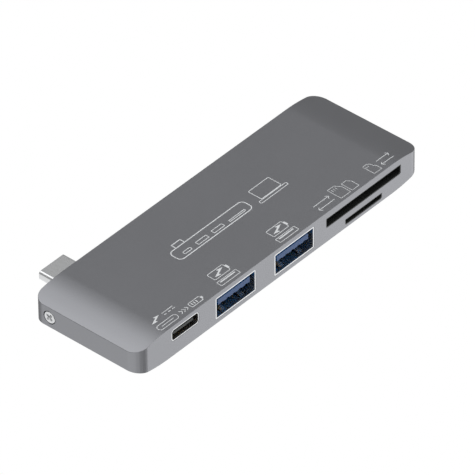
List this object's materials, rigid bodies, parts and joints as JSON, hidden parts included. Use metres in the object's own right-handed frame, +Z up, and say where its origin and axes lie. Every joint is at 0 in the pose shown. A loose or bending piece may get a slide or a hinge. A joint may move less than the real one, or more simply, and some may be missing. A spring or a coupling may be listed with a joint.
{
  "type": "usb hub",
  "caption": "Slim metal travel hub with a rigid USB-C plug on its back and USB-A, USB-C and memory card ports along its front.",
  "frame": {"origin": "middle of the flat underside of the body", "axes": "+Z up out of the top face, +X along the body towards the card slots, -Y out of the port face, +Y along the plug"},
  "size_m": [0.0944, 0.0374, 0.0082],
  "materials": {
    "anodised_aluminium": "fine blasted and anodised, space grey",
    "grey_moulding": "moulded, matched to the housing",
    "nickel_plated_steel": "nickel plated",
    "stainless_sheet": "rolled sheet",
    "blue_polymer": "moulded",
    "black_polymer": "moulded",
    "gold_contact": "gold plated",
    "circuit_board": "solder mask over glass laminate",
    "chip_epoxy": "moulded epoxy"
  },
  "bodies": {
    "hub_body": {"housing": "anodised_aluminium", "back_cover": "grey_moulding", "end_screw_left": "nickel_plated_steel", "end_screw_right": "nickel_plated_steel", "main_board": "circuit_board", "hub_controller": "chip_epoxy", "card_controller": "chip_epoxy", "pd_controller": "chip_epoxy", "clock_crystal": "stainless_sheet", "usb_a_1_shell": "nickel_plated_steel", "usb_a_1_insulator": "blue_polymer", "usb_a_1_contact_1": "gold_contact", "usb_a_1_contact_2": "gold_contact", "usb_a_1_contact_3": "gold_contact", "usb_a_1_contact_4": "gold_contact", "usb_a_1_ss_contact_1": "gold_contact", "usb_a_1_ss_contact_2": "gold_contact", "usb_a_1_ss_contact_3": "gold_contact", "usb_a_1_ss_contact_4": "gold_contact", "usb_a_1_ss_contact_5": "gold_contact", "usb_a_2_shell": "nickel_plated_steel", "usb_a_2_insulator": "blue_polymer", "usb_a_2_contact_1": "gold_contact", "usb_a_2_contact_2": "gold_contact", "usb_a_2_contact_3": "gold_contact", "usb_a_2_contact_4": "gold_contact", "usb_a_2_ss_contact_1": "gold_contact", "usb_a_2_ss_contact_2": "gold_contact", "usb_a_2_ss_contact_3": "gold_contact", "usb_a_2_ss_contact_4": "gold_contact", "usb_a_2_ss_contact_5": "gold_contact", "pd_port_shell": "nickel_plated_steel", "pd_port_tongue": "black_polymer", "plug_shell": "nickel_plated_steel", "plug_insulator": "black_polymer", "plug_latch": "stainless_sheet", "sd_base": "black_polymer", "sd_cover": "stainless_sheet", "sd_contact_1": "gold_contact", "sd_contact_2": "gold_contact", "sd_contact_3": "gold_contact", "sd_contact_4": "gold_contact", "sd_contact_5": "gold_contact", "sd_contact_6": "gold_contact", "sd_contact_7": "gold_contact", "sd_contact_8": "gold_contact", "sd_contact_9": "gold_contact", "microsd_base": "black_polymer", "microsd_cover": "stainless_sheet", "microsd_contact_1": "gold_contact", "microsd_contact_2": "gold_contact", "microsd_contact_3": "gold_contact", "microsd_contact_4": "gold_contact", "microsd_contact_5": "gold_contact", "microsd_contact_6": "gold_contact", "microsd_contact_7": "gold_contact", "microsd_contact_8": "gold_contact"},
    "sd_detect": {"sd_detect_lever": "stainless_sheet"},
    "sd_protect": {"sd_protect_lever": "stainless_sheet"},
    "microsd_detect": {"microsd_detect_lever": "stainless_sheet"}
  },
  "joints": [
    {"name": "sd_detect_hinge", "type": "hinge", "parent": "hub_body", "child": "sd_detect", "pos_m": [0.01464, 0.00335, 0.0052], "axis": [0, 0, -1], "range_deg": [0, 5], "stiffness_Nm_per_rad": 0.004},
    {"name": "sd_protect_hinge", "type": "hinge", "parent": "hub_body", "child": "sd_protect", "pos_m": [0.04074, 0.00335, 0.0052], "axis": [0, 0, 1], "range_deg": [0, 5], "stiffness_Nm_per_rad": 0.004},
    {"name": "microsd_detect_hinge", "type": "hinge", "parent": "hub_body", "child": "microsd_detect", "pos_m": [0.02124, -0.00185, 0.0016], "axis": [0, 0, -1], "range_deg": [0, 5], "stiffness_Nm_per_rad": 0.004}
  ]
}
